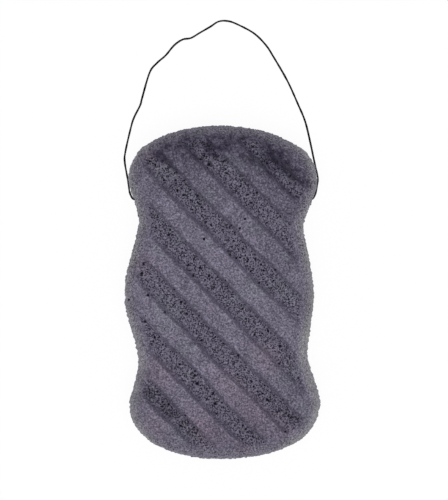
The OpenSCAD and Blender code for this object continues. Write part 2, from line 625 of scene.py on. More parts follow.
@dataclass(frozen=True)
class Mottle:
    """A noise pattern, and what it stands for.

    Attributes:
        scale: Waves per metre.
        detail: Finer layers on top of the first.
        roughness: Strength of the finer layers.
        low: Noise at and below which the pattern has its first value.
        high: Noise at and above which it has its last.
        first: The pattern's first value.
        last: Its last value.
    """

    scale: float
    detail: float
    roughness: float
    low: float
    high: float
    first: float
    last: float

    def lay(self, board: NodeBoard, where: bpy.types.NodeSocket) -> bpy.types.NodeSocket:
        """Lays the pattern's nodes on a board and gives its value."""
        noise = board.noise(where, self.scale, self.detail, self.roughness)
        return board.span(noise, self.low, self.high, self.first, self.last)


def new_material(name: str) -> tuple[bpy.types.Material, NodeBoard, bpy.types.Node]:
    """Starts a material.

    Args:
        name: Its name.

    Returns:
        The material, a board on its nodes, and its Principled BSDF.
    """
    material = bpy.data.materials.new(name)
    material.use_nodes = True
    material.node_tree.nodes.clear()
    board = NodeBoard(material.node_tree)
    shader = board.add("ShaderNodeBsdfPrincipled")
    end = board.add("ShaderNodeOutputMaterial")
    board.join(shader.outputs["BSDF"], end.inputs["Surface"])
    return material, board, shader


@dataclass(frozen=True)
class FoamFinish:
    """Charcoal konjac foam: felt-like skin on the ribs, open cells in the grooves.

    Attributes:
        rib: Colour of the ribs' skin.
        floor: Colour of the groove floors: partly their own darker tone, partly painted shade of
            the recessed grooves.
        pore_shade: Painted shade inside an open cell, near black.
        web: Colour of the thin walls between cells, and of pale fibres on the ribs.
        shade_colour: Colour of the painted shade at its darkest, on the upper end, the corners and
            the groove walls.
        rim: Colour of the light painted onto the rolled edge, paler and greyer than the skin.
        green_rim_light: Colour of the greener patches of the rim's painted light.
        blush: Colour of the faint warm patches.
        moss: Colour of the faint cool patches.
        sheen: Strength of the fuzz's soft sheen.
        bloom: Colour of that sheen.
        moss_patches: Where the cool patches are.
        green_rim_light_patches: Where those greener patches are.
        shade_unevenness: How unevenly the painted shade lies.
        wall_shade: How unevenly the grooves' walls are shaded.
        cloud: Broad, faint changes of tone.
        grain: The felt's grain.
        fibres: The pale fibres on the skin.
        cell_wobble: How far the small cells are from round.
        cell_scale: Small cells per metre.
        least_cell: Radius of the smallest opening, as a share of the cells' spacing.
        cell_spread: How much larger the largest opening is.
        cell_lip: Width of the edge of an opening.
        cell_wall: Distance outside the smallest opening at which a wall is full.
        rib_cells: How strongly the small openings show on a rib.
        bed_cells: The same on a groove's bed.
        bed_walls: How strongly the walls between them show there.
        blush_shown: How strongly the warm patches show.
        rim_shown: How strongly the rim's painted light shows.
        wall_shade_strength: How dark the painted shade on a groove's walls is against its bed.
        fuzz_scale: Fuzz of the relief, in waves per metre.
        relief: Height of the finest relief.
        gloss: Strength of the foam's faint highlights.
    """

    rib: Colour = (0.136, 0.122, 0.169)
    floor: Colour = (0.096, 0.084, 0.129)
    pore_shade: Colour = (0.002, 0.002, 0.004)
    web: Colour = (0.290, 0.278, 0.322)
    # Colour of the painted shade.
    shade_colour: Colour = (0.023, 0.019, 0.036)
    rim: Colour = (0.252, 0.242, 0.268)
    # Greener patches of the rim's painted light.
    green_rim_light: Colour = (0.258, 0.263, 0.250)
    blush: Colour = (0.175, 0.125, 0.165)
    moss: Colour = (0.135, 0.150, 0.165)
    sheen: float = 0.12
    bloom: Colour = (0.80, 0.74, 1.00)
    moss_patches: Mottle = Mottle(90, 2, 0.5, 0.50, 0.75, 0.0, 0.35)
    green_rim_light_patches: Mottle = Mottle(170, 2, 0.5, 0.42, 0.62, 0.0, 0.75)
    shade_unevenness: Mottle = Mottle(430, 2, 0.7, 0.30, 0.70, 0.55, 1.45)
    wall_shade: Mottle = Mottle(260, 2, 0.5, 0.35, 0.65, 0.35, 1.25)
    cloud: Mottle = Mottle(220, 3, 0.5, 0.25, 0.75, 0.84, 1.16)
    grain: Mottle = Mottle(1500, 3, 0.8, 0.33, 0.67, 0.35, 1.65)
    fibres: Mottle = Mottle(1500, 2, 0.6, 0.58, 0.70, 0.0, 1.0)
    cell_wobble: Mottle = Mottle(480, 1, 0.5, 0.35, 0.65, -0.02, 0.03)
    cell_scale: float = 1700
    least_cell: float = 0.21
    cell_spread: float = 0.28
    cell_lip: float = 0.10
    cell_wall: float = 0.28
    rib_cells: float = 0.08
    bed_cells: float = 0.80
    bed_walls: float = 0.20
    blush_shown: float = 0.48
    rim_shown: float = 0.9
    wall_shade_strength: float = 0.24
    fuzz_scale: float = 2600
    relief: float = 0.16 * MM
    gloss: float = 0.15

    def cells(
        self, board: NodeBoard, where: bpy.types.NodeSocket
    ) -> tuple[bpy.types.NodeSocket, bpy.types.NodeSocket]:
        """Fills the foam with small round cells, no two of one size.

        Args:
            board: The material's board.
            where: Object coordinates.

        Returns:
            From 0 to 1 on the openings, and from 0 to 1 on the walls between them.
        """
        cells = board.add("ShaderNodeTexVoronoi")
        board.join(where, cells.inputs["Vector"])
        cells.inputs["Scale"].default_value = self.cell_scale
        draw = board.add("ShaderNodeSeparateColor")
        board.join(cells.outputs["Color"], draw.inputs[0])
        extra = board.sum("MULTIPLY", draw.outputs[0], self.cell_spread)
        away = board.sum("SUBTRACT", cells.outputs["Distance"], extra)
        away = board.sum("ADD", away, self.cell_wobble.lay(board, where))
        lip, wall = self.least_cell + self.cell_lip, self.least_cell + self.cell_wall
        return board.span(away, self.least_cell, lip, 1, 0), board.span(away, lip, wall, 0, 1)

    def skin(self, board: NodeBoard, where: bpy.types.NodeSocket) -> bpy.types.NodeSocket:
        """Colours the skin, from the plain ribs to the painted shade, the patches and the rim's
        painted light.

        Args:
            board: The material's board.
            where: Object coordinates.

        Returns:
            The skin's colour, before its grain and cells.
        """
        groove = board.mark("groove")
        # The groove floors' darker colour is partly painted shade of the recess.
        colour = board.blend(groove, self.rib, self.floor)
        colour = board.blend(self.moss_patches.lay(board, where), colour, self.moss)
        blush = board.sum("MULTIPLY", board.mark("blush"), self.blush_shown)
        colour = board.blend(blush, colour, self.blush)
        # Painted light on the rolled rim, where its fuzz catches light at a grazing angle: paler
        # and greyer than the skin, greener in patches.
        edge = board.blend(self.green_rim_light_patches.lay(board, where), self.rim, self.green_rim_light)
        rim = board.sum("MULTIPLY", board.mark("rim"), self.rim_shown)
        colour = board.blend(rim, colour, edge)
        # Painted shade: darker towards the upper end, in the corners, at the grooves' ends and in
        # dark spots.
        painted_shade = board.sum("MULTIPLY", board.mark("painted_shade"), self.shade_unevenness.lay(board, where))
        colour = board.blend(painted_shade, colour, self.shade_colour)
        # Painted shade on the groove walls, between the rib and the bed, wider on the lower left
        # walls.
        wall = board.span(board.mark("bed"), 0, 1, self.wall_shade_strength, 0)
        wall = board.sum("MULTIPLY", groove, wall)
        wall = board.sum("MULTIPLY", wall, self.wall_shade.lay(board, where))
        return board.blend(wall, colour, self.shade_colour)

    def material(self) -> bpy.types.Material:
        """Builds the foam's material.

        Returns:
            A material that reads Object coordinates and the pad's own attributes.
        """
        material, board, shader = new_material(Slot.FOAM.value)
        where = board.add("ShaderNodeTexCoord").outputs["Object"]
        grain = self.grain.lay(board, where)
        felt = board.sum("MULTIPLY", self.cloud.lay(board, where), grain)
        tone = board.add("ShaderNodeCombineColor")
        for socket in tone.inputs[:3]:
            board.join(felt, socket)
        skin = self.skin(board, where)
        colour = board.blend(1.0, skin, tone.outputs["Color"], "MULTIPLY")

        # The fibres and the cell walls fade under the painted shade, and the fibres show more on
        # the rim's painted light.
        lit_share = board.span(board.mark("painted_shade"), 0.25, 0.7, 1, 0.15)
        at_rim = board.span(board.mark("rim"), 0, 1, 0.45, 0.75)
        fibres = board.sum("MULTIPLY", self.fibres.lay(board, where), at_rim)
        colour = board.blend(board.sum("MULTIPLY", fibres, lit_share), colour, self.web)
        bed = board.mark("bed")
        openings, walls = self.cells(board, where)
        shown = board.span(bed, 0, 0.8, self.rib_cells, self.bed_cells)
        openings = board.sum("MULTIPLY", openings, shown)
        walls = board.sum("MULTIPLY", walls, board.span(bed, 0, 0.8, 0, self.bed_walls))
        colour = board.blend(board.sum("MULTIPLY", walls, lit_share), colour, self.web)
        # Painted shade: the small openings, and the pits by their depth, are coloured near black.
        colour = board.blend(openings, colour, self.pore_shade)
        hole = board.span(board.mark("pore_shade"), 0.08, 0.5, 0, 1)
        board.join(board.blend(hole, colour, self.pore_shade), shader.inputs["Base Color"])

        fuzz = board.noise(where, self.fuzz_scale, detail=2, roughness=0.6)
        height = board.sum("SUBTRACT", fuzz, board.sum("MULTIPLY", openings, 0.8))
        board.relief(shader, height, strength=0.55, depth=self.relief)
        board.join(board.span(grain, 0.74, 1.26, 0.98, 0.86), shader.inputs["Roughness"])
        shader.inputs["Specular IOR Level"].default_value = self.gloss
        shader.inputs["Sheen Weight"].default_value = self.sheen
        shader.inputs["Sheen Tint"].default_value = (*self.bloom, 1.0)
        shader.inputs["Sheen Roughness"].default_value = 0.5
        return material


@dataclass(frozen=True)
class ThreadFinish:
    """Black twisted cotton thread.

    Attributes:
        dark: Colour between the fibres, with the hollows' painted shade.
        light: Colour of the fibres on top, painted lighter on the strands' crests.
        hair_scale: Fine hairs per metre.
        band_scale: Bands of the twist per metre, where the mesh has none.
    """

    dark: Colour = (0.001, 0.001, 0.001)
    light: Colour = (0.008, 0.008, 0.009)
    hair_scale: float = 9000
    band_scale: float = 900

    def fibres(self) -> bpy.types.NodeTree:
        """Builds the effect that both cord materials share.

        Returns:
            A node group that turns a place, and how far up a strand it is, into the thread's
            colour, roughness and height.
        """
        group = bpy.data.node_groups.new("thread_fibres", "ShaderNodeTree")
        for name, kind, way in (
            ("Place", "NodeSocketVector", "INPUT"),
            ("Crest", "NodeSocketFloat", "INPUT"),
            ("Colour", "NodeSocketColor", "OUTPUT"),
            ("Roughness", "NodeSocketFloat", "OUTPUT"),
            ("Height", "NodeSocketFloat", "OUTPUT"),
        ):
            group.interface.new_socket(name=name, in_out=way, socket_type=kind)
        board = NodeBoard(group)
        start, end = board.add("NodeGroupInput"), board.add("NodeGroupOutput")
        hairs = board.noise(start.outputs["Place"], self.hair_scale, detail=2, roughness=0.6)
        # Painted light and shade: lighter on the strands' crests, darker between them.
        lit = board.sum("MULTIPLY", board.span(hairs, 0.3, 0.7, 0.2, 1), start.outputs["Crest"])
        board.join(board.blend(lit, self.dark, self.light), end.inputs["Colour"])
        board.join(board.span(hairs, 0.3, 0.7, 0.95, 0.7), end.inputs["Roughness"])
        board.join(hairs, end.inputs["Height"])
        return group

    def material(self, name: str, group: bpy.types.NodeTree, twisted: bool) -> bpy.types.Material:
        """Builds one of the cord's materials.

        Args:
            name: The material's name.
            group: The effect from fibres().
            twisted: Whether the mesh has the twist and marks its strands' crests. Otherwise
                bands on Object coordinates stand for it.

        Returns:
            The material.
        """
        material, board, shader = new_material(name)
        where = board.add("ShaderNodeTexCoord").outputs["Object"]
        if twisted:
            crest = board.mark("crest")
        else:
            wave = board.add("ShaderNodeTexWave", bands_direction="DIAGONAL")
            board.join(where, wave.inputs["Vector"])
            wave.inputs["Scale"].default_value = self.band_scale
            crest = wave.outputs["Fac"]
        effect = board.add("ShaderNodeGroup", node_tree=group)
        board.join(where, effect.inputs["Place"])
        board.join(crest, effect.inputs["Crest"])
        board.join(effect.outputs["Colour"], shader.inputs["Base Color"])
        board.join(effect.outputs["Roughness"], shader.inputs["Roughness"])
        board.relief(shader, effect.outputs["Height"], strength=0.4, depth=0.03 * MM)
        shader.inputs["Specular IOR Level"].default_value = 0.1
        shader.inputs["Sheen Weight"].default_value = 0.02
        return material


@dataclass(frozen=True)
class Surface:
    """The plain body's points, and how its surface lies there.

    Attributes:
        base: The points.
        out: The outward normals.
        edge: How far inside the outline each point is, seen from above.
    """

    base: np.ndarray
    out: np.ndarray
    edge: np.ndarray

    def facing(self) -> np.ndarray:
        """From 0 to 1 where the surface turns up to the face."""
        return smooth_rise(self.out[:, 2], 0.1, 0.6)

    def resting(self) -> np.ndarray:
        """From 0 to 1 where it turns down to the back."""
        return smooth_rise(-self.out[:, 2], 0.3, 0.9)

    def sideways(self) -> np.ndarray:
        """From -1 where it looks left to 1 where it looks right, seen from above."""
        return self.out[:, 0] / (np.hypot(self.out[:, 0], self.out[:, 1]) + 1e-6)


@dataclass(frozen=True)
class Moulding:
    """What the pressed grooves make of each point.

    Attributes:
        groove: From 0 on a rib to 1 in a groove.
        bed: From 0 to 1 on the level bed between a groove's walls.
        tint: How much of the groove floors' colour shows.
        deep: How strongly the moulding is pressed in deeper.
        reach: How far the point is towards the upper right, square to the grooves.
    """

    groove: np.ndarray
    bed: np.ndarray
    tint: np.ndarray
    deep: np.ndarray
    reach: np.ndarray


@dataclass(frozen=True)
class PaintedLightMarks:
    """Where shade and the rim's light are painted into the foam's colour, and where its small
    cells show round the face.

    Attributes:
        border: How the painted shade's borders wander.
        upper: The painted shade of the upper end, by place along the sponge.
        upper_shade: How strong it is on a rib, and how much less on a bed.
        corner: The painted shade of the upper right corner, by place across the grooves.
        corner_shade: How strong it is on a rib, and how much less on a bed.
        foot: The painted shade of the lower left corner, by the same turned round.
        foot_shade: How strong it is.
        ends: The painted shade at the grooves' ends, by place along them.
        ends_shade: How strong it is.
        deep_shade: The painted shade where the moulding is pressed in deeper.
        inner: Where the painted shade sets in, by distance inside the outline.
        inner_right: How much further inside it sets in on the right flank.
        right: The right flank, by how far the surface looks sideways.
        right_below: The stretch of it that stays dry, by place along the sponge.
        turned: The flank's pale stretch, by how far the surface looks sideways.
        pale_below: Where it starts, by place along the sponge.
        pale_foot: Where it weakens again.
        pale_edge: How wide it is, by distance inside the outline.
        pale_left: How strong it is on the left flank.
        rim_light_any: How strongly the rim's painted light shows on either side.
        rim_light_right: How much more it shows on the right.
        high: The upper part of the flank, by height.
        rolled: The rolled rim, by how far the surface looks up.
        skirt_top: The band of small cells round the face, by the same.
        skirt_side: Where that band thickens on the flank.
        pore_depth: Depth of an opening at which its painted shade is full.
    """

    border: Swell = Swell(Seed.SHADE_BORDER, 2.2 * MM, 9 * MM)
    upper: Ramp = Ramp(40 * MM, 54 * MM)
    upper_shade: tuple[float, float] = (0.23, 0.05)
    corner: Ramp = Ramp(8 * MM, 44 * MM)
    corner_shade: tuple[float, float] = (0.33, 0.29)
    foot: Ramp = Ramp(20 * MM, 46 * MM)
    foot_shade: float = 0.05
    ends: Ramp = Ramp(24 * MM, 46 * MM)
    ends_shade: float = 0.17
    deep_shade: float = 0.8
    inner: Ramp = Ramp(0.4 * MM, 4.4 * MM)
    inner_right: float = 4.0 * MM
    right: Ramp = Ramp(0.5, 0.9)
    right_below: Ramp = Ramp(36 * MM, 24 * MM)
    turned: Ramp = Ramp(0.25, 0.7)
    pale_below: Ramp = Ramp(-4 * MM, -19 * MM)
    pale_foot: Ramp = Ramp(-36 * MM, -48 * MM)
    pale_edge: Ramp = Ramp(4.8 * MM, 2.8 * MM)
    pale_left: float = 0.5
    rim_light_any: Ramp = Ramp(0.2, 0.7)
    rim_light_right: Ramp = Ramp(0.3, 0.8)
    high: Ramp = Ramp(9 * MM, 22 * MM)
    rolled: Ramp = Ramp(0.85, 0.15)
    skirt_top: Ramp = Ramp(0.93, 0.6)
    skirt_side: Ramp = Ramp(0.0, 0.45)
    pore_depth: float = 0.24 * MM

    def pale(self, surface: Surface) -> np.ndarray:
        """Finds the pale stretches of the flanks' upper edge.

        Args:
            surface: The plain body's surface.

        Returns:
            From 0 to 1 at each point.
        """
        y, sideways = surface.base[:, 1], surface.sideways()
        pale = self.turned.at(sideways) * (1 - 0.5 * self.pale_foot.at(y))
        pale += self.pale_left * self.turned.at(-sideways)
        return pale * (self.pale_below.at(y) * self.pale_edge.at(surface.edge))

    def painted_shade(
        self, surface: Surface, moulding: Moulding, grooves: Grooves, spots: np.ndarray
    ) -> np.ndarray:
        """Finds how strongly shade is painted into the foam's colour.

        Args:
            surface: The plain body's surface.
            moulding: What the grooves make of it.
            grooves: The grooves, for the places of their ends.
            spots: The small spots of painted shade.

        Returns:
            From 0, no painted shade, to about 1, darkest, at each point.
        """
        y, bed, border = surface.base[:, 1], moulding.bed, self.border.over(surface.base)
        # Painted shade: the upper end, the upper right corner, the grooves' ends and the lower
        # left corner are darkened, less on the beds.
        painted_shade = (self.upper_shade[0] - self.upper_shade[1] * bed) * self.upper.at(y + border)
        corner = self.corner.at(moulding.reach + border)
        painted_shade += (self.corner_shade[0] - self.corner_shade[1] * bed) * corner
        painted_shade += self.ends_shade * self.ends.at(np.abs(grooves.along(surface.base)) + border)
        painted_shade += self.foot_shade * self.foot.at(border - moulding.reach)
        right = self.right.at(surface.sideways()) * self.right_below.at(y)
        full = self.inner.end + self.inner_right * right
        inner = smooth_rise(surface.edge, self.inner.start, full)
        painted_shade *= (0.1 + 0.9 * inner) * np.maximum(1 - 1.2 * self.pale(surface), 0)
        return painted_shade + self.deep_shade * moulding.deep + spots

    def rim(self, surface: Surface) -> np.ndarray:
        """Finds how strongly light is painted onto the rolled rim, as pale colour.

        Args:
            surface: The plain body's surface.

        Returns:
            From 0 to about 1 at each point.
        """
        sideways, pale = surface.sideways(), self.pale(surface)
        # Painted light on the rolled rim, stronger on the flanks and most on the right.
        lit_share = 0.3 + 0.7 * self.rim_light_any.at(np.abs(sideways)) + 0.3 * self.rim_light_right.at(sideways)
        rolled = self.rolled.at(surface.out[:, 2] - 0.08 * pale)
        return rolled * (lit_share + 0.2 * pale) * (0.3 + 0.7 * self.high.at(surface.base[:, 2]))

    def skirt(self, surface: Surface) -> np.ndarray:
        """Finds the band round the face where the small cells show, as they do on a bed.

        Args:
            surface: The plain body's surface.

        Returns:
            From 0 to 1 at each point.
        """
        up = surface.out[:, 2]
        skirt = self.skirt_top.at(up) * (0.26 + 0.36 * self.skirt_side.at(up))
        return skirt * (1 - 0.55 * self.pale(surface))


@dataclass
class KonjacPad:
    """The sponge itself: a padded body whose moulded face carries the grooves.

    Attributes:
        outline: Its outline from above.
        grooves: The grooves of its face.
        height: Height of the face's rim above the back.
        crown: Rise of the face from its rim to its middle.
        front_edge: Radius of the rolled edge round the face.
        back_edge: Radius of the edge round the back.
        swell: Swell of the flank between the two edges.
        cell: Size of the base mesh's faces. Those of the face are halved.
        mouths: Where the cord enters the flank on either side.
        mouth_reach: How deep each mouth is worn.
        mouth_run: How the mouth deepens, by distance from the cord.
        wave: Long, low waves of the moulded skin.
        ripple: Shorter ones.
        felt: The felt-like skin.
        fuzz: The fuzz of the rolled edge.
        small_cells: The foam's small open cells.
        wide_cells: Its wider ones.
        lone_cells: The deep ones on the beds.
        light_marks: Where shade and the rim's light are painted into the foam, and where its small
            cells show round the face.
        deep_spots: Where the moulding is pressed in deeper.
        shade_spots: Where shade is painted into the face as dark spots.
        blush_spots: Where the skin is faintly warm in colour.
        large_pores: Places over the sponge and radii of the few large pores, in millimetres.
    """

    outline: Outline = field(default_factory=Outline)
    grooves: Grooves = field(default_factory=Grooves)
    height: float = 29.2 * MM
    crown: float = 0.8 * MM
    front_edge: float = 9 * MM
    back_edge: float = 6 * MM
    swell: float = 0.4 * MM
    cell: float = 0.36 * MM
    mouths: tuple[Place, ...] = (
        (-32.94 * MM, 34.7 * MM, 15 * MM),
        (33.32 * MM, 34.7 * MM, 15 * MM),
    )
    mouth_reach: float = 1.2 * MM
    mouth_run: Ramp = Ramp(1.3 * MM, 0.2 * MM)
    wave: Swell = Swell(Seed.WAVE, 0.28 * MM, 13 * MM)
    ripple: Swell = Swell(Seed.RIPPLE, 0.13 * MM, 5 * MM)
    felt: Swell = Swell(Seed.FELT, 0.055 * MM, 1.0 * MM, 3)
    fuzz: Swell = Swell(Seed.FUZZ, 0.34 * MM, 0.75 * MM, 2)
    small_cells: OpenCells = OpenCells(
        0.66 * MM, 0.15 * MM, 0.28 * MM, 0.26, 1.2, Seed.SMALL_CELLS
    )
    wide_cells: OpenCells = OpenCells(1.6 * MM, 0.30 * MM, 0.50 * MM, 0.14, 2.2, Seed.WIDE_CELLS)
    lone_cells: OpenCells = OpenCells(2.1 * MM, 0.34 * MM, 0.46 * MM, 0.56, 3.6, Seed.LONE_CELLS)
    light_marks: PaintedLightMarks = field(default_factory=PaintedLightMarks)
    deep_spots: tuple[Spot, ...] = (
        Spot(21.4, 48.5, 1.7, 3.4, 0.9),
        Spot(26.0, 44.5, 2.0, 1.8, 0.5),
        Spot(-4.5, 54.0, 2.2, 1.3, 0.6),
        Spot(-24.0, 51.5, 2.0, 1.5, 0.6),
        Spot(-4.6, 48.2, 0.7, 1.8, 0.8),
        Spot(-31.5, 8.0, 1.5, 1.5, 0.4),
        Spot(-28.2, -36.4, 1.3, 3.0, 0.4),
        Spot(28.0, -36.5, 2.0, 1.6, 0.12),
    )
    # Painted shade: dark spots, most of them on the groove walls near the upper end, which lie in
    # shadow.
    shade_spots: tuple[Spot, ...] = (
        Spot(8.5, 56.6, 1.4, 3.4, 0.20),
        Spot(15.5, 53.2, 1.4, 3.0, 0.30),
        Spot(21.6, 49.0, 1.9, 2.9, 1.05),
        Spot(26.6, 44.6, 1.7, 2.6, 0.95),
        Spot(18.5, 47.0, 4.0, 2.6, 0.42),
        Spot(25.2, 41.0, 3.6, 2.2, 0.30),
        Spot(30.6, 41.0, 2.2, 1.8, 0.50),
        Spot(-3.7, 52.4, 1.2, 3.4, 0.28),
        Spot(-12.5, 53.0, 3.2, 1.5, 0.14),
        Spot(-19.7, 48.0, 1.0, 7.5, 0.45),
        Spot(-21.5, -43.0, 3.4, 3.2, 0.44),
        Spot(-14.5, -51.0, 3.2, 2.6, 0.34),
        Spot(26.0, -46.5, 3.4, 2.0, 0.26),
        Spot(-21.5, 55.6, 2.4, 1.2, 0.28),
        Spot(-13.0, 57.8, 2.4, 1.2, 0.28),
    )
    blush_spots: tuple[Spot, ...] = (
        Spot(16.5, -24.0, 4.5, 1.4, 0.8),
        Spot(4.5, -36.5, 5.0, 1.5, 0.8),
        Spot(12.0, -45.0, 5.5, 1.6, 0.8),
        Spot(-6.5, -51.5, 5.0, 1.5, 0.9),
        Spot(-24.0, -31.0, 4.5, 1.4, 0.8),
        Spot(-25.0, -50.0, 4.5, 1.2, 0.7),
        Spot(21.5, -49.0, 4.5, 1.3, 0.7),
        Spot(-27.0, 52.0, 5.0, 1.2, 0.6),
        Spot(-30.0, 10.0, 4.0, 1.2, 0.5),
        Spot(10.0, -61.0, 5.0, 1.5, 0.5),
    )
    large_pores: tuple[tuple[float, float, float], ...] = (
        (-5.0, 47.9, 0.60), (-14.4, 36.5, 0.42), (-6.8, 20.0, 0.46), (-30.2, 7.2, 0.50),
        (-27.8, -1.0, 0.52), (-15.4, -3.6, 0.50), (-21.5, -7.4, 0.46), (-25.3, -16.8, 0.46),
        (17.2, -14.5, 0.42), (-9.5, -34.1, 0.58), (-2.7, -41.6, 0.56), (16.8, -40.1, 0.46),
        (-15.5, -49.9, 0.42), (-5.0, 6.1, 0.42), (8.5, 27.5, 0.42), (13.1, 37.3, 0.40),
        (6.6, 24.0, 0.40), (2.9, 14.1, 0.40), (5.3, 12.9, 0.40), (-10.5, -50.5, 0.40),
    )  # fmt: skip

    def arc(self, radius: float) -> np.ndarray:
        """Draws the section of a rolled edge.

        Args:
            radius: The edge's radius.

        Returns:
            Points from level to upright: how far inside the outline, and how far up.
        """
        turns = np.radians(np.linspace(0, 90, 13))
        inset = self.swell + radius * (1 - np.sin(turns))
        return np.stack([inset, radius * (1 - np.cos(turns))], axis=1)

    def section(self) -> np.ndarray:
        """Draws the section of the pad's side.

        Returns:
            Points from the back up: how far inside the outline, and how high.
        """
        back, front = self.arc(self.back_edge), self.arc(self.front_edge)[::-1]
        front[:, 1] = self.height - front[:, 1]
        rise = np.linspace(0, 1, 9)[1:-1]
        low, high = back[-1, 1], front[0, 1]
        flank = np.stack([self.swell * (2 * rise - 1) ** 2, low + (high - low) * rise], axis=1)
        return np.vstack([back, flank, front])

    def plain_body(self) -> bpy.types.Object:
        """Builds the pad without its grooves.

        Returns:
            A closed mesh of even faces, with smaller ones on the grooved face.
        """
        points, normals = self.outline.points(), self.outline.normals()
        rings = [
            np.column_stack([points - normals * inset, np.full(len(points), high)])
            for inset, high in self.section()
        ]
        rim, outermost, innermost, face_rings = rings[-1], 0.92, 0.06, 14
        for share in np.linspace(outermost, innermost, face_rings):
            ring = rim * np.array([share, share, 1.0])
            ring[:, 2] += self.crown * (1 - share**2)
            rings.append(ring)
        count = len(points)
        first = np.arange(count)
        after = (first + 1) % count
        faces = [
            (r * count + a, r * count + b, (r + 1) * count + b, (r + 1) * count + a)
            for r in range(len(rings) - 1)
            for a, b in zip(first, after)
        ]
        faces.append(tuple(int(x) for x in first[::-1]))
        faces.append(tuple(int(x) + (len(rings) - 1) * count for x in first))
        mesh = bpy.data.meshes.new("konjac_pad")
        mesh.from_pydata(np.vstack(rings).tolist(), [], [tuple(map(int, f)) for f in faces])
        pad = bpy.data.objects.new("konjac_pad", mesh)
        bpy.context.scene.collection.objects.link(pad)
        bpy.ops.object.select_all(action="DESELECT")
        pad.select_set(True)
        bpy.context.view_layer.objects.active = pad
        even = pad.modifiers.new("even", "REMESH")
        even.mode = "VOXEL"
        even.voxel_size = self.cell * 1
        bpy.ops.object.modifier_apply(modifier="even")
        self.halve_face(pad)
        return pad

    def halve_face(self, pad: bpy.types.Object) -> None:
        """Splits each face of the pad's grooved side into four, to carry its finer detail.

        Args:
            pad: The plain body.
        """
        mesh = pad.data
        up, high = np.zeros(len(mesh.polygons) * 3), np.zeros(len(mesh.polygons) * 3)
        mesh.polygons.foreach_get("normal", up)
        mesh.polygons.foreach_get("center", high)
        steepest = 0.25
        chosen = (up[2::3] > steepest) & (high[2::3] > self.height - self.front_edge)
        mesh.vertices.foreach_set("select", np.zeros(len(mesh.vertices), bool))
        mesh.edges.foreach_set("select", np.zeros(len(mesh.edges), bool))
        mesh.polygons.foreach_set("select", chosen)
        bpy.ops.object.mode_set(mode="EDIT")
        bpy.ops.mesh.select_mode(type="FACE")
        bpy.ops.mesh.subdivide(number_cuts=1, quadcorner="INNERVERT")
        bpy.ops.object.mode_set(mode="OBJECT")

    def spots(self, places: np.ndarray, spots: tuple[Spot, ...]) -> np.ndarray:
        """How strongly a list of spots marks each point.

        Args:
            places: Points on the face.
            spots: The spots.

        Returns:
            The strongest spot's amount at each point.
        """
        u, v = self.grooves.along(places), self.grooves.across(places)
        found = np.zeros(len(places))
        for spot in spots:
            middle = np.array([[spot.x * MM, spot.y * MM, 0.0]])
            away_u = (u - self.grooves.along(middle)) / (spot.reach * spot.stretch * MM)
            away_v = (v - self.grooves.across(middle)) / (spot.reach * MM)
            found = np.maximum(found, spot.amount * np.exp(-(away_u**2 + away_v**2)))
        return found

    def shape(self, pad: bpy.types.Object) -> None:
        """Moulds the grooves, the open cells and the felt-like skin into the plain body.

        Args:
            pad: The plain body. Its attributes tell the foam's material what lies where.
        """
        mesh = pad.data
        count = len(mesh.vertices)
        base, out = np.zeros(count * 3), np.zeros(count * 3)
        mesh.vertices.foreach_get("co", base)
        mesh.vertex_normals.foreach_get("vector", out)
        base, out = base.reshape(-1, 3), out.reshape(-1, 3)
        edge, round_it = self.outline.nearest(base)
        self.lay_out(mesh, base, round_it)

        surface = Surface(base, out, edge)
        facing, resting = surface.facing(), surface.resting()
        wave = self.wave.over(base) + self.ripple.over(base)
        places = base + out * (wave * (1 - resting) * (1 - 0.5 * facing))[:, None]
        moulding = self.press_grooves(surface, places)
        felt = self.felt.over(base) * (1 + 0.6 * moulding.bed)
        # The fuzz is drawn out upwards, so that its tufts show in the outline.
        tufts = base * np.array([1.0, 1.0, 0.3])
        fuzz = self.fuzz.over(tufts) * smooth_rise(out[:, 2], 0.97, 0.3)
        pits = self.open_cells(surface, moulding)
        places += out * (felt + fuzz - pits - self.mouth_depth(base))[:, None]
        places[:, 2] = np.maximum(places[:, 2], 0.0)
        mesh.vertices.foreach_set("co", places.ravel())
        self.mark(mesh, surface, moulding, pits)
        mesh.update()

    def press_grooves(self, surface: Surface, places: np.ndarray) -> Moulding:
        """Presses the grooves into the face.

        Args:
            surface: The plain body's surface.
            places: The skin's points, which this moves.

        Returns:
            What the grooves make of each point.
        """
        cut, facing = self.grooves, surface.facing()
        groove, lip, aside = cut.inside(places)
        reach = cut.across(places)
        deep = self.spots(places, self.deep_spots)
        floor = self.height - cut.depth + cut.floor_swell.over(surface.base)
        floor -= cut.gutter * cut.gutter_run.at(lip)
        floor -= cut.outer * cut.outer_run.at(np.abs(reach))
        floor -= cut.pressed * deep
        above = places[:, 2] - floor
        sink = 0.5 * (above + np.sqrt(above**2 + cut.blunt**2)) * facing
        groove = groove * facing
        places[:, 2] -= groove * sink
        ease = cut.runout.at(sink)
        groove = groove * ease
        places[:, 2] -= cut.shoulder * (cut.shoulder_run.at(lip) * facing) * (1 - groove)

        # On a groove's lower left half the bed begins later, which widens the walls' painted shade
        # there.
        lower = cut.lower_half.at(aside)
        bed = cut.bed_run.at(lip - cut.lower_foot * lower)
        tint = smooth_rise(lip, -0.3 * MM, (1.2 + 0.8 * lower) * MM)
        shown = ease * cut.open_run.at(surface.edge)
        return Moulding(groove, bed * ease * facing * shown, tint * facing * shown, deep, reach)

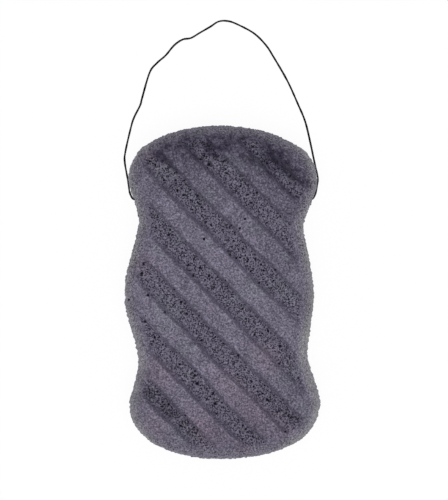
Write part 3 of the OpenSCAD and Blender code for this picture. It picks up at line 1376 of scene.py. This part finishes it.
    def open_cells(self, surface: Surface, moulding: Moulding) -> np.ndarray:
        """Cuts the foam's cells open, most of them on the grooves' beds.

        Args:
            surface: The plain body's surface.
            moulding: What the grooves make of it.

        Returns:
            The depth of the openings at each point, in metres.
        """
        base, out = surface.base, surface.out
        bed, groove, resting = moulding.bed, moulding.groove, surface.resting()
        side = (1 - surface.facing()) * (1 - resting)
        small = np.clip(bed + 0.10 * groove + 0.5 * side + 0.6 * resting + 0.05, 0, 1)
        wide = np.clip(bed + 0.25 * groove + 0.35 * side + 0.4 * resting, 0, 1)
        return np.maximum.reduce(
            [
                self.small_cells.depth(base, out, small),
                self.wide_cells.depth(base, out, wide),
                self.lone_cells.depth(base, out, bed),
                self.large_pore_depth(base) * surface.facing(),
            ]
        )

    def mark(
        self, mesh: bpy.types.Mesh, surface: Surface, moulding: Moulding, pits: np.ndarray
    ) -> None:
        """Tells the foam's material what lies where.

        Args:
            mesh: The pad's mesh, which gets the attributes that the material reads.
            surface: The plain body's surface.
            moulding: What the grooves make of it.
            pits: Depth of the open cells.
        """
        base, light_marks = surface.base, self.light_marks
        painted_shade = light_marks.painted_shade(surface, moulding, self.grooves, self.spots(base, self.shade_spots))
        marks = {
            "groove": moulding.tint,
            "bed": np.maximum(moulding.bed * (1 - 0.8 * moulding.deep), light_marks.skirt(surface)),
            "pore_shade": np.clip(pits / light_marks.pore_depth, 0, 1),
            # Painted shade, which the material darkens the colour with.
            "painted_shade": np.clip(painted_shade, 0, 0.95),
            # Painted light on the rolled rim.
            "rim": np.clip(light_marks.rim(surface), 0, 1.25),
            "blush": self.spots(base, self.blush_spots) * surface.facing(),
        }
        for name, values in marks.items():
            made = mesh.attributes.new(name, "FLOAT", "POINT")
            made.data.foreach_set("value", values.astype(np.float32))

    def large_pore_depth(self, places: np.ndarray) -> np.ndarray:
        """How deep the few large pores reach at each point.

        Args:
            places: Points on the face.

        Returns:
            The depth at each point, in metres.
        """
        found, steepness = np.zeros(len(places)), 1.5
        for x, y, reach in self.large_pores:
            away = np.hypot(places[:, 0] - x * MM, places[:, 1] - y * MM) / (reach * MM)
            deep = steepness * reach * MM * np.sqrt(np.clip(1 - away**2, 0, 1))
            found = np.maximum(found, deep)
        return found

    def mouth_depth(self, places: np.ndarray) -> np.ndarray:
        """How deep the cord has worn its mouths into the flank at each point.

        Args:
            places: Points on the pad.

        Returns:
            The depth at each point, in metres.
        """
        found, inward = np.zeros(len(places)), 2 * MM
        for x, y, z in self.mouths:
            away = np.hypot(places[:, 1] - y, places[:, 2] - z)
            near = np.abs(places[:, 0] - x) < inward
            found = np.maximum(found, near * self.mouth_reach * self.mouth_run.at(away))
        return found

    def lay_out(self, mesh: bpy.types.Mesh, base: np.ndarray, shares: np.ndarray) -> None:
        """Gives the pad a map for baking: face and back from above, and the flank in three strips.

        Args:
            mesh: The plain body's mesh.
            base: Its points.
            shares: How far round the outline each point is.
        """
        faces, corners = len(mesh.polygons), len(mesh.loops)
        up = np.zeros(faces * 3)
        mesh.polygons.foreach_get("normal", up)
        totals, at = np.zeros(faces, np.int32), np.zeros(corners, np.int32)
        mesh.polygons.foreach_get("loop_total", totals)
        mesh.loops.foreach_get("vertex_index", at)
        level = 0.42
        side = np.where(up[2::3] > level, Side.FACE.value, Side.FLANK.value)
        side = np.where(up[2::3] < -level, Side.BACK.value, side)
        owner = np.repeat(np.arange(faces), totals)
        corner_side, point = side[owner], base[at]
        spare = 0.5 * MM
        half = np.array([self.outline.width, self.outline.length]) / 2 + spare
        place = np.zeros((corners, 2))
        flat = point[:, :2] / (2 * half[1]) + np.array([half[0] / (2 * half[1]), 0.5])
        on_face, on_back = corner_side == Side.FACE.value, corner_side == Side.BACK.value
        face_scale, back_scale, back_left, margin = 0.985, 0.62, 0.615, 0.005
        place[on_face] = flat[on_face] * face_scale + margin
        place[on_back] = flat[on_back] * back_scale + np.array([back_left, margin])
        rest = np.nonzero(corner_side == Side.FLANK.value)[0]
        round_it = shares[at[rest]]
        starts = np.concatenate([[0], np.cumsum(totals)[:-1]])
        home = shares[at[starts]][owner[rest]]
        strip = np.minimum((home * 3).astype(int), 2)
        round_it = home + (round_it - home + 0.5) % 1.0 - 0.5
        length = (round_it - strip / 3) * 3
        left, width, bottom, pitch, tall = 0.62, 0.35, 0.655, 0.115, 0.1
        place[rest, 0] = left + width * length
        place[rest, 1] = bottom + pitch * strip + point[rest, 2] / self.height * tall
        made = mesh.uv_layers.new(name="OFBake")
        made.uv.foreach_set("vector", place.astype(np.float32).ravel())

    def build(self, finish: FoamFinish) -> bpy.types.Object:
        """Builds the sponge, dresses it and hands it to the model.

        Args:
            finish: The foam's finish.

        Returns:
            The finished piece.
        """
        pad = self.plain_body()
        self.shape(pad)
        pad.data.materials.clear()
        pad.data.materials.append(finish.material())
        pad.data.polygons.foreach_set("use_smooth", np.ones(len(pad.data.polygons), bool))
        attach(pad, Body.SPONGE.value)
        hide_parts("sponge")
        return pad


@dataclass
class HangingCord:
    """The thin twisted cord that hangs in a loop and runs through the sponge.

    Attributes:
        diameter: Its thickness.
        route: Its line from the left mouth round the loop into the right one, in millimetres.
        strands: Strands twisted together.
        lay_length: Length of one turn of the twist.
        ring_gap: Distance between the tube's rings.
        sides: Points round each ring.
        hollow: Radius between two strands, against half the diameter.
        bulge: How much further a strand's crest stands out.
        slub: How the thread's thickness varies, as a share of it.
    """

    diameter: float = 0.5 * MM
    route: tuple[Place, ...] = (
        (-32.5, 34.7, 15.0), (-33.2, 34.95, 14.75), (-33.8, 35.4, 14.1), (-34.3, 36.3, 12.8),
        (-34.85, 37.7, 10.8), (-35.2, 39.7, 8.1), (-35.6, 42.4, 5.0), (-36.8, 49.0, 0.8),
        (-36.6, 53.0, 0.25), (-34.4, 62.6, 0.25), (-33.2, 66.2, 0.25), (-31.0, 70.6, 0.25),
        (-30.2, 73.6, 0.25), (-27.4, 83.0, 0.25), (-24.6, 86.6, 0.25), (-21.4, 89.4, 0.25),
        (-18.2, 93.2, 0.25), (-15.0, 95.4, 0.25), (-11.8, 96.0, 0.25), (-8.4, 98.0, 0.25),
        (-4.6, 100.2, 0.25), (-1.4, 102.2, 0.25), (2.0, 102.4, 0.25), (5.6, 101.2, 0.25),
        (11.9, 97.8, 0.25), (16.4, 93.4, 0.25), (19.4, 88.8, 0.25), (24.6, 79.8, 0.25),
        (28.6, 71.0, 0.25), (31.4, 64.2, 0.25), (33.5, 55.4, 0.25), (34.5, 50.6, 0.8),
        (35.4, 46.4, 2.4), (36.1, 42.8, 5.2), (35.65, 39.8, 8.2), (35.3, 37.7, 10.8),
        (34.75, 36.3, 12.8), (34.2, 35.4, 14.1), (33.6, 34.95, 14.75), (32.9, 34.7, 15.0),
    )  # fmt: skip
    strands: int = 3
    lay_length: float = 2.0 * MM
    ring_gap: float = 0.14 * MM
    sides: int = 15
    hollow: float = 1.30
    bulge: float = 0.28
    slub: Swell = Swell(Seed.SLUB, 0.14, 1.6 * MM)

    def line(self) -> np.ndarray:
        """Draws the cord's centreline.

        Returns:
            Its points in metres, a ring's gap apart.
        """
        rough = curve_points(np.array(self.route) * MM, steps=16, closed=False)
        gone = np.concatenate([[0], np.cumsum(np.linalg.norm(np.diff(rough, axis=0), axis=1))])
        rings = int(gone[-1] / self.ring_gap) + 1
        wanted = np.linspace(0, gone[-1], rings)
        return np.stack([np.interp(wanted, gone, rough[:, k]) for k in range(3)], axis=1)

    def tube(self, line: np.ndarray) -> bpy.types.Object:
        """Builds the twisted thread along its line.

        Args:
            line: The centreline.

        Returns:
            A closed tube with one bulge for each strand, and its crests marked.
        """
        ahead = np.gradient(line, axis=0)
        ahead /= np.linalg.norm(ahead, axis=1, keepdims=True)
        side = np.zeros_like(ahead)
        side[0] = np.cross([0.0, 0.0, 1.0], ahead[0])
        side[0] /= np.linalg.norm(side[0])
        for k in range(1, len(line)):
            carried = side[k - 1] - ahead[k] * (side[k - 1] @ ahead[k])
            side[k] = carried / np.linalg.norm(carried)
        up = np.cross(ahead, side)
        turn = 2 * np.pi * np.arange(len(line)) * self.ring_gap / self.lay_length
        angle = 2 * np.pi * np.arange(self.sides) / self.sides
        crest = 0.5 + 0.5 * np.cos(self.strands * angle)
        slub = 1 + self.slub.over(line)[:, None]
        reach = self.diameter / 2 * (self.hollow + self.bulge * crest) * slub
        spun = angle[None, :] + turn[:, None]
        points = (
            line[:, None, :]
            + (reach * np.cos(spun))[..., None] * side[:, None, :]
            + (reach * np.sin(spun))[..., None] * up[:, None, :]
        )
        points[..., 2] = np.maximum(points[..., 2], 0.0)
        rings, sides = len(line), self.sides
        around = [(i, (i + 1) % sides) for i in range(sides)]
        faces = [
            (r * sides + a, r * sides + b, (r + 1) * sides + b, (r + 1) * sides + a)
            for r in range(rings - 1)
            for a, b in around
        ]
        faces.append(tuple(range(sides))[::-1])
        faces.append(tuple((rings - 1) * sides + i for i in range(sides)))
        mesh = bpy.data.meshes.new("twisted_cord")
        mesh.from_pydata(points.reshape(-1, 3).tolist(), [], faces)
        made = mesh.attributes.new("crest", "FLOAT", "POINT")
        made.data.foreach_set("value", np.tile(crest, rings).astype(np.float32))
        mesh.polygons.foreach_set("use_smooth", np.ones(len(mesh.polygons), bool))
        cord = bpy.data.objects.new("twisted_cord", mesh)
        bpy.context.scene.collection.objects.link(cord)
        return cord

    def build(self, finish: ThreadFinish) -> bpy.types.Object:
        """Args:
            finish: The thread's finish.

        Returns:
            The finished loop.
        """
        line = self.line()
        cord = self.tube(line)
        group = finish.fibres()
        cord.data.materials.append(finish.material("cord_thread", group, twisted=True))
        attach(cord, Body.CORD.value)
        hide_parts("cord_loop")
        length = float(np.linalg.norm(np.diff(line, axis=0), axis=1).sum())
        inside = finish.material("cord_inside", group, twisted=False)
        for name in ("cord_run_left", "cord_run_right", "cord_knot"):
            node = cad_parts[name]
            node.data.materials.clear()
            node.data.materials.append(inside)
        return cord


@dataclass
class Studio:
    """The pale floor, the soft light and the camera.

    Attributes:
        view_middle: What the image's middle looks at, over the sponge.
        view_level: Height of the plane that the image is to scale on.
        view_height: How much of that plane the image's height covers.
        camera_height: Height of the camera above that plane.
        clip: Nearest and furthest that the camera sees.
        sensor: Size of the camera's sensor along the image's longer side, in millimetres.
        dome: Strength of the even light from all round.
        lamp_power: Power of the soft lamp.
        lamp_size: Its width.
        lamp_place: Where it hangs.
        floor_size: Width of the floor.
        floor_tone: How pale the floor is.
        floor_glow: How much of the backdrop's white the camera sees on it.
    """

    view_middle: tuple[float, float] = (0.66 * MM, 15.9 * MM)
    view_level: float = 15 * MM
    view_height: float = 187.97 * MM
    camera_height: float = 3.0
    clip: tuple[float, float] = (0.1, 20.0)
    sensor: float = 36.0
    dome: float = 0.52
    lamp_power: float = 9.0
    lamp_size: float = 0.6
    lamp_place: Place = (0.02, -0.14, 1.20)
    floor_size: float = 8.0
    floor_tone: float = 0.95
    floor_glow: float = 0.94

    def place_camera(self) -> None:
        """Puts the camera straight above the sponge."""
        data = bpy.data.cameras.new("camera")
        data.sensor_width = self.sensor
        data.lens = self.sensor * self.camera_height / self.view_height
        data.clip_start, data.clip_end = self.clip
        camera = bpy.data.objects.new("camera", data)
        camera.location = (*self.view_middle, self.view_level + self.camera_height)
        bpy.context.scene.collection.objects.link(camera)
        bpy.context.scene.camera = camera

    def place_lamp(self) -> None:
        """Hangs one large soft lamp over the sponge, a little towards its lower end."""
        data = bpy.data.lights.new("soft_lamp", "AREA")
        data.shape, data.size, data.energy = "DISK", self.lamp_size, self.lamp_power
        lamp = bpy.data.objects.new("soft_lamp", data)
        lamp.location = self.lamp_place
        away = np.array(self.lamp_place)
        lamp.rotation_euler = (
            math.atan2(math.hypot(away[0], away[1]), away[2]),
            0.0,
            math.atan2(away[0], -away[1]),
        )
        bpy.context.scene.collection.objects.link(lamp)

    def backdrop_ray(self, board: NodeBoard) -> bpy.types.NodeSocket:
        """Tells rays that see the backdrop from those that light the sponge.

        Args:
            board: The node tree to read the light's path in.

        Returns:
            1 for rays from the camera, a gloss or a clear surface, and otherwise 0.
        """
        path = board.add("ShaderNodeLightPath").outputs
        seen = board.sum("MAXIMUM", path["Is Camera Ray"], path["Is Glossy Ray"])
        return board.sum("MAXIMUM", seen, path["Is Transmission Ray"])

    def light_world(self) -> None:
        """Surrounds the scene with even light in front of a white backdrop."""
        world = bpy.data.worlds.new("studio")
        bpy.context.scene.world = world
        world.use_nodes = True
        world.node_tree.nodes.clear()
        board = NodeBoard(world.node_tree)
        dome, white = board.add("ShaderNodeBackground"), board.add("ShaderNodeBackground")
        dome.inputs["Color"].default_value = WHITE
        dome.inputs["Strength"].default_value = self.dome
        white.inputs["Color"].default_value = WHITE
        white.inputs["Strength"].default_value = 1.0
        mix, end = board.add("ShaderNodeMixShader"), board.add("ShaderNodeOutputWorld")
        board.join(self.backdrop_ray(board), mix.inputs["Fac"])
        board.join(dome.outputs[0], mix.inputs[1])
        board.join(white.outputs[0], mix.inputs[2])
        board.join(mix.outputs[0], end.inputs["Surface"])

    def lay_floor(self) -> None:
        """Lays a pale floor that fades into the backdrop and keeps a faint shadow."""
        bpy.ops.object.select_all(action="DESELECT")
        bpy.ops.mesh.primitive_plane_add(size=self.floor_size, location=(0, 0, 0))
        floor = bpy.context.object
        floor.name = "studio_floor"
        material = bpy.data.materials.new("studio_floor")
        material.use_nodes = True
        material.node_tree.nodes.clear()
        board = NodeBoard(material.node_tree)
        matte, glow = board.add("ShaderNodeBsdfDiffuse"), board.add("ShaderNodeEmission")
        matte.inputs["Color"].default_value = (*[self.floor_tone] * 3, 1.0)
        glow.inputs["Color"].default_value = WHITE
        mix, end = board.add("ShaderNodeMixShader"), board.add("ShaderNodeOutputMaterial")
        seen = board.sum("MULTIPLY", self.backdrop_ray(board), self.floor_glow)
        board.join(seen, mix.inputs["Fac"])
        board.join(matte.outputs[0], mix.inputs[1])
        board.join(glow.outputs[0], mix.inputs[2])
        board.join(mix.outputs[0], end.inputs["Surface"])
        floor.data.materials.append(material)

    def build(self) -> None:
        """Sets up the whole studio."""
        self.place_camera()
        self.light_world()
        self.place_lamp()
        self.lay_floor()
        bpy.context.scene.view_settings.view_transform = "Standard"


def main() -> None:
    """Builds the studio, the cord and the sponge, and logs the cord's and the pad's face counts.
    """
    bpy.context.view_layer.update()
    Studio().build()
    log.info("studio: camera, lamp and floor are up")
    cord = HangingCord().build(ThreadFinish())
    log.info("twisted cord: %d faces", len(cord.data.polygons))
    pad = KonjacPad().build(FoamFinish())
    log.info("konjac pad: %d faces", len(pad.data.polygons))


if __name__ == "__main__":
    main()
